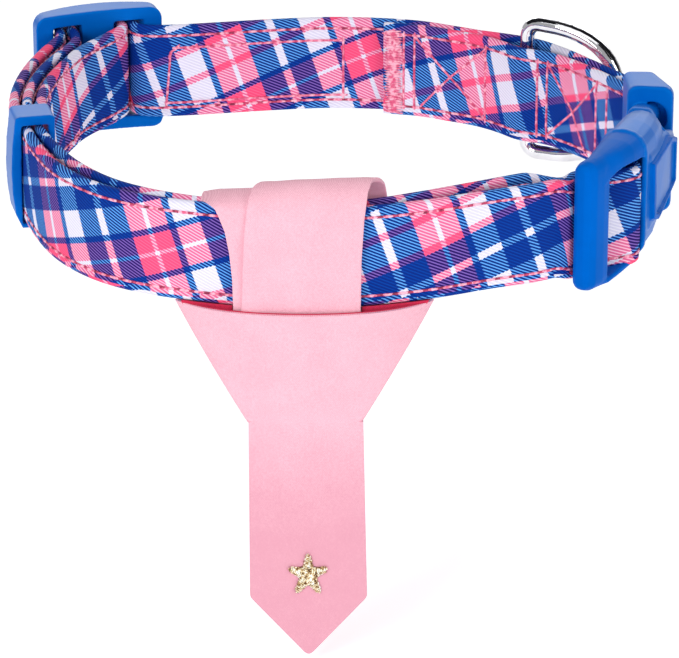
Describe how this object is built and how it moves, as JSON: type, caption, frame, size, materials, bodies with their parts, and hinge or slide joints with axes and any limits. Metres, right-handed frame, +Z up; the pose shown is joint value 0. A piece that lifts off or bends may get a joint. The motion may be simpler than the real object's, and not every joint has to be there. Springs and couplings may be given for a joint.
{
  "type": "dog tie collar",
  "caption": "Buckled strap collar for a dog, with an adjuster, a keeper, a hinged lead ring and a cloth tie hanging at the front.",
  "frame": {"origin": "middle of the neck opening, at half the strap's height", "axes": "+X along the widest line of the neck opening, towards the buckle; +Y towards the back of the neck; +Z up; the tie hangs at the front, towards -Y"},
  "size_m": [0.1645, 0.1437, 0.122],
  "materials": {
    "plaid_cloth": "pink, blue and white plaid twill over webbing",
    "blue_plastic": "moulded, satin gloss",
    "ring_steel": "polished plating",
    "tie_cloth": "plain pale pink felted cotton",
    "star_thread": "gold glitter embroidery"
  },
  "bodies": {
    "collar": {"strap": "plaid_cloth", "buckle_female": "blue_plastic", "buckle_male": "blue_plastic", "adjuster": "blue_plastic", "keeper": "blue_plastic", "tie_knot": "tie_cloth", "tie_flap": "tie_cloth", "tie_tail": "tie_cloth", "tie_star": "star_thread"},
    "ring": {"lead_ring": "ring_steel"}
  },
  "joints": [
    {"name": "ring_swing", "type": "hinge", "parent": "collar", "child": "ring", "pos_m": [0.04796, 0.04871, 0.0007], "axis": [0, 0, 1], "range_deg": [0, 150]}
  ]
}
